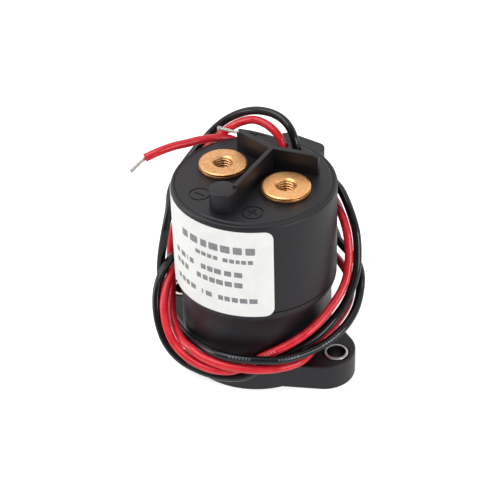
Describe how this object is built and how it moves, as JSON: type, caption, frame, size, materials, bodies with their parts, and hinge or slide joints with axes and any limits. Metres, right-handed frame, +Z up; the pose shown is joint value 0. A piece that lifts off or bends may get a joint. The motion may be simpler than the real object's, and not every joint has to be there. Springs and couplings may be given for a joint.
{
  "type": "high voltage dc contactor",
  "caption": "Sealed high voltage DC contactor: round black case on an eared base, copper bolt terminals, insulating barrier and coil leads.",
  "frame": {"origin": "centre of the flat mounting face under the base", "axes": "+Z up out of the mounting face towards the terminals, +X along the mounting ears, +Y towards the lead boss"},
  "size_m": [0.0651, 0.0571, 0.0661],
  "materials": {
    "case_black": "satin moulded charcoal black plastic",
    "bush_steel": "zinc plated steel, satin",
    "terminal_copper": "turned copper, fine turning marks",
    "silver_tip": "silver alloy",
    "white_label": "matte white film",
    "white_ceramic": "alumina ceramic",
    "sealing_steel": "stainless, plain",
    "magnet_grey": "sintered magnet, dark grey",
    "yoke_steel": "plated soft iron",
    "bobbin_nylon": "moulded nylon",
    "winding_enamel": "enamelled copper winding",
    "winding_tape": "polyester tape",
    "bridge_copper": "copper with silver pads",
    "spring_steel": "spring steel wire",
    "red_silicone": "soft satin red wire cover",
    "black_silicone": "soft satin black wire cover",
    "tinned_copper": "tinned copper strands"
  },
  "bodies": {
    "case": {"lower_case": "case_black", "upper_housing": "case_black", "mounting_bush_left": "bush_steel", "mounting_bush_right": "bush_steel", "terminal_left": "terminal_copper", "terminal_right": "terminal_copper", "fixed_contact_left": "silver_tip", "fixed_contact_right": "silver_tip", "label": "white_label", "ceramic_arc_chamber": "white_ceramic", "sealing_ring": "sealing_steel", "arc_shield": "white_ceramic", "blowout_magnet_left": "magnet_grey", "blowout_magnet_right": "magnet_grey", "magnet_yoke": "yoke_steel", "yoke_cup": "yoke_steel", "top_yoke_plate": "yoke_steel", "coil_bobbin": "bobbin_nylon", "coil_winding": "winding_enamel", "coil_wrap": "winding_tape", "core_sleeve": "sealing_steel", "fixed_core": "yoke_steel", "return_spring": "spring_steel", "red_lead": "red_silicone", "black_lead": "black_silicone", "red_lead_strands": "tinned_copper", "black_lead_strands": "tinned_copper"},
    "armature": {"plunger": "yoke_steel", "plunger_shaft": "yoke_steel", "spring_seat": "bobbin_nylon", "shaft_clip": "yoke_steel"},
    "contact_bridge": {"moving_contact_bridge": "bridge_copper", "contact_spring": "spring_steel"}
  },
  "joints": [
    {"name": "armature_slide", "type": "slide", "parent": "case", "child": "armature", "axis": [0, 0, 1], "range_m": [0, 0.002], "stiffness_N_per_m": 400, "springref_m": -0.001, "deforming": ["return_spring"]},
    {"name": "bridge_slide", "type": "slide", "parent": "case", "child": "contact_bridge", "axis": [0, 0, 1], "range_m": [0, 0.0015]}
  ],
  "couplings": [
    {"joint": "bridge_slide", "follows": "armature_slide", "ratio": 0.75}
  ]
}
